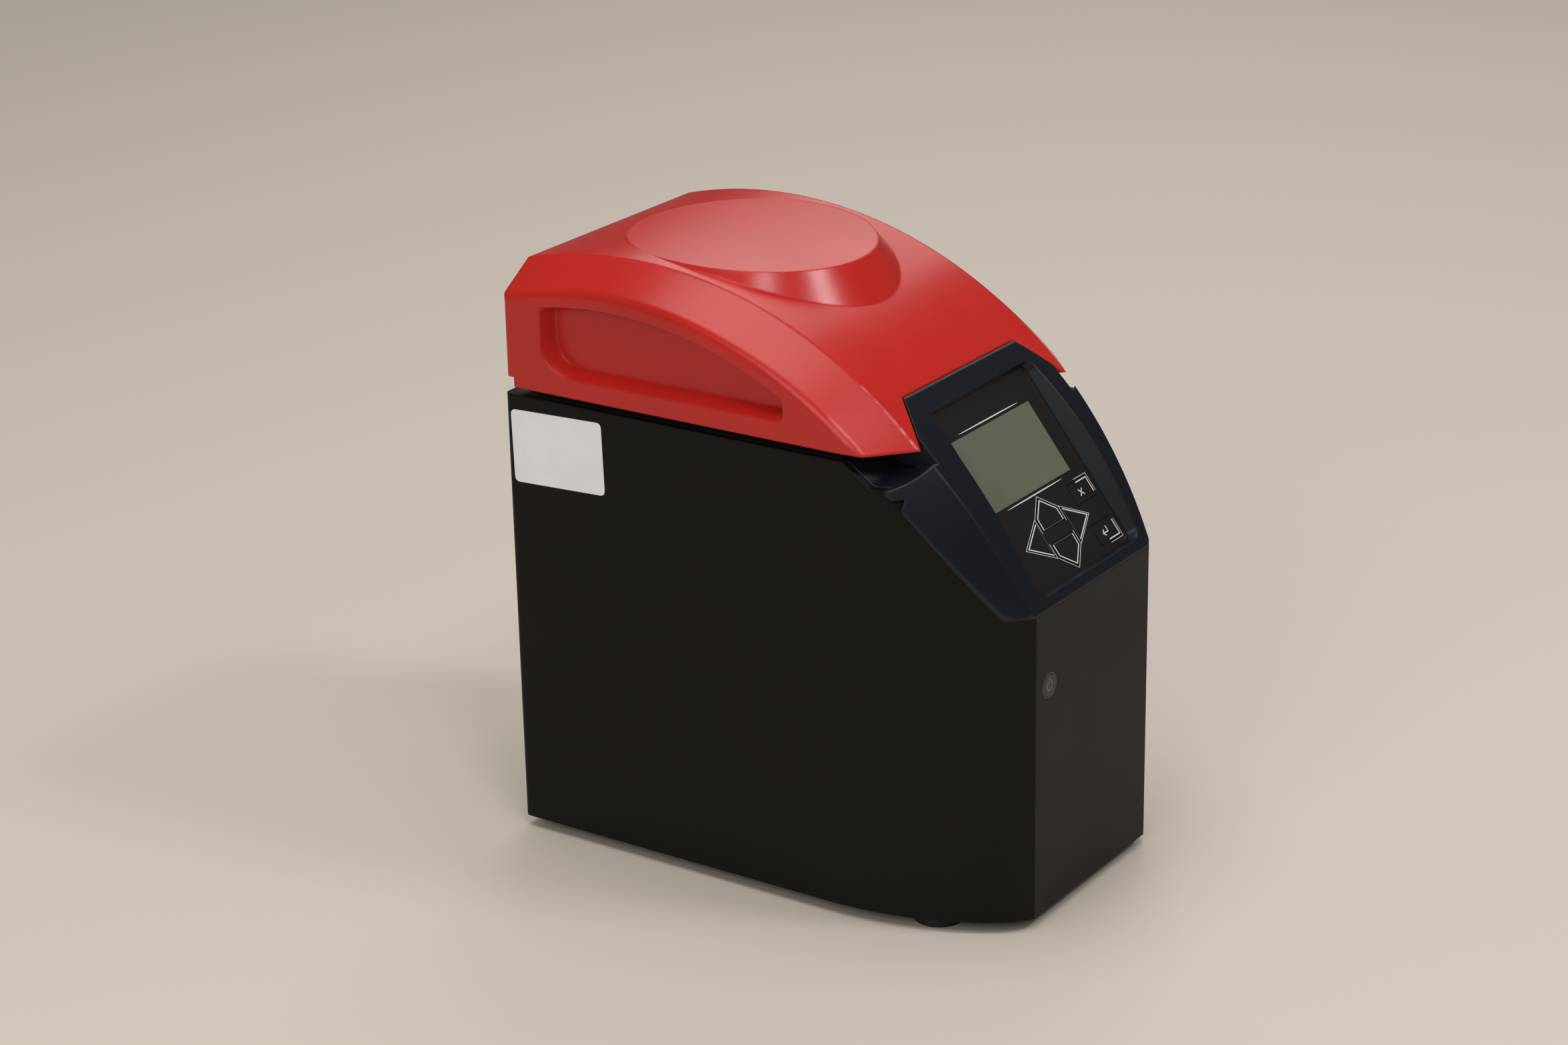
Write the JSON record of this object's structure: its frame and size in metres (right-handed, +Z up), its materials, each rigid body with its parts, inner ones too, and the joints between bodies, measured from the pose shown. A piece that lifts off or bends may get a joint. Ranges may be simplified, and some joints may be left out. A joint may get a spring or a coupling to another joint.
{
  "type": "bead mill homogenizer",
  "caption": "Bench homogenizer with an arched hinged lid, a sloping keypad console and a crank-driven carriage that shakes a ring of sample tubes.",
  "frame": {"origin": "bottom centre of the bounding box, on the bench", "axes": "+Z up, -Y towards the front panel, X across the width"},
  "size_m": [0.16, 0.247, 0.2697],
  "materials": {
    "lid_red": "satin, fine grain",
    "housing_black": "satin",
    "console_navy": "satin",
    "panel_film": "satin",
    "display": "polished",
    "board_green": "satin",
    "module_frame": "satin",
    "button_grey": "satin",
    "rubber": "matt",
    "steel": "machined",
    "cast_aluminium": "machined",
    "rotor_iron": "satin",
    "bronze": "machined",
    "brass_pins": "polished",
    "liner_grey": "satin",
    "black_plastic": "satin",
    "panel_grey": "satin"
  },
  "bodies": {
    "base": {"base_plate": "housing_black", "base_screws": "steel", "chamber_bowl": "liner_grey", "chamber_gasket": "rubber", "console_bezel": "console_navy", "console_overlay": "panel_film", "controller_board": "board_green", "display_board": "board_green", "display_glass": "display", "display_module": "module_frame", "drive_frame": "cast_aluminium", "fan_frame": "black_plastic", "guide_bushings": "bronze", "hinge_brackets": "steel", "hinge_pins": "steel", "housing_shell": "housing_black", "inlet_pins": "brass_pins", "isolation_mounts": "rubber", "lock_solenoid": "black_plastic", "motor_housing": "cast_aluminium", "panel_screws": "steel", "power_button_ring": "button_grey", "power_inlet": "black_plastic", "power_supply": "board_green", "rear_panel": "panel_grey", "rubber_feet": "rubber", "shaft_bearings": "steel", "top_deck": "liner_grey"},
    "lid": {"lid_cover": "lid_red", "lid_liner": "liner_grey", "lid_striker": "liner_grey", "hinge_arms": "steel"},
    "lock": {"lock_bolt": "steel"},
    "power_button": {"power_button": "button_grey"},
    "mains_rocker": {"mains_rocker": "black_plastic"},
    "fuse_drawer": {"fuse_drawer": "black_plastic"},
    "fan": {"fan_rotor": "black_plastic"},
    "crank": {"crank_disc": "steel", "motor_rotor": "rotor_iron"},
    "carriage": {"carriage_fork": "cast_aluminium", "carriage_shaft": "steel", "wrist_pin": "steel", "holder_hub": "cast_aluminium", "sample_holder": "cast_aluminium", "holder_clamp": "cast_aluminium"},
    "rod": {"connecting_rod": "cast_aluminium", "crank_bearing": "steel", "crank_pin": "steel"},
    "knob": {"holder_knob": "black_plastic"},
    "key_up": {"key_up": "panel_film"},
    "key_down": {"key_down": "panel_film"},
    "key_left": {"key_left": "panel_film"},
    "key_right": {"key_right": "panel_film"},
    "key_escape": {"key_escape": "panel_film"},
    "key_enter": {"key_enter": "panel_film"}
  },
  "joints": [
    {"name": "lid_hinge", "type": "hinge", "parent": "base", "child": "lid", "pos_m": [0, 0.1203, 0.208], "axis": [-1, 0, 0], "range_deg": [0, 85]},
    {"name": "lock_slide", "type": "slide", "parent": "base", "child": "lock", "axis": [1, 0, 0], "range_m": [0, 0.008]},
    {"name": "power_press", "type": "slide", "parent": "base", "child": "power_button", "axis": [0, 1, 0], "range_m": [0, 0.001], "stiffness_N_per_m": 1500},
    {"name": "mains_rock", "type": "hinge", "parent": "base", "child": "mains_rocker", "pos_m": [0.048, 0.117, 0.078], "axis": [1, 0, 0], "range_deg": [-18, 0]},
    {"name": "fuse_pull", "type": "slide", "parent": "base", "child": "fuse_drawer", "axis": [0, 1, 0], "range_m": [0, 0.02]},
    {"name": "fan_spin", "type": "hinge", "parent": "base", "child": "fan", "pos_m": [-0.038, 0.112, 0.062], "axis": [0, 1, 0], "continuous": true},
    {"name": "crank_spin", "type": "hinge", "parent": "base", "child": "crank", "pos_m": [0, 0.06, 0.062], "axis": [0, 1, 0], "continuous": true},
    {"name": "carriage_stroke", "type": "slide", "parent": "base", "child": "carriage", "axis": [0, 0, 1], "range_m": [0, 0.01]},
    {"name": "rod_swing", "type": "hinge", "parent": "carriage", "child": "rod", "pos_m": [0, 0.042, 0.107], "axis": [0, 1, 0], "range_deg": [-5.7, 5.7]},
    {"name": "knob_turn", "type": "hinge", "parent": "carriage", "child": "knob", "pos_m": [0, 0.042, 0.23], "axis": [0, 0, 1], "range_deg": [0, 90]},
    {"name": "key_up_press", "type": "slide", "parent": "base", "child": "key_up", "axis": [0, 0.7923, -0.6101], "range_m": [0, 0.0004], "stiffness_N_per_m": 800},
    {"name": "key_down_press", "type": "slide", "parent": "base", "child": "key_down", "axis": [0, 0.7923, -0.6101], "range_m": [0, 0.0004], "stiffness_N_per_m": 800},
    {"name": "key_left_press", "type": "slide", "parent": "base", "child": "key_left", "axis": [0, 0.7923, -0.6101], "range_m": [0, 0.0004], "stiffness_N_per_m": 800},
    {"name": "key_right_press", "type": "slide", "parent": "base", "child": "key_right", "axis": [0, 0.7923, -0.6101], "range_m": [0, 0.0004], "stiffness_N_per_m": 800},
    {"name": "key_escape_press", "type": "slide", "parent": "base", "child": "key_escape", "axis": [0, 0.7923, -0.6101], "range_m": [0, 0.0004], "stiffness_N_per_m": 800},
    {"name": "key_enter_press", "type": "slide", "parent": "base", "child": "key_enter", "axis": [0, 0.7923, -0.6101], "range_m": [0, 0.0004], "stiffness_N_per_m": 800}
  ]
}
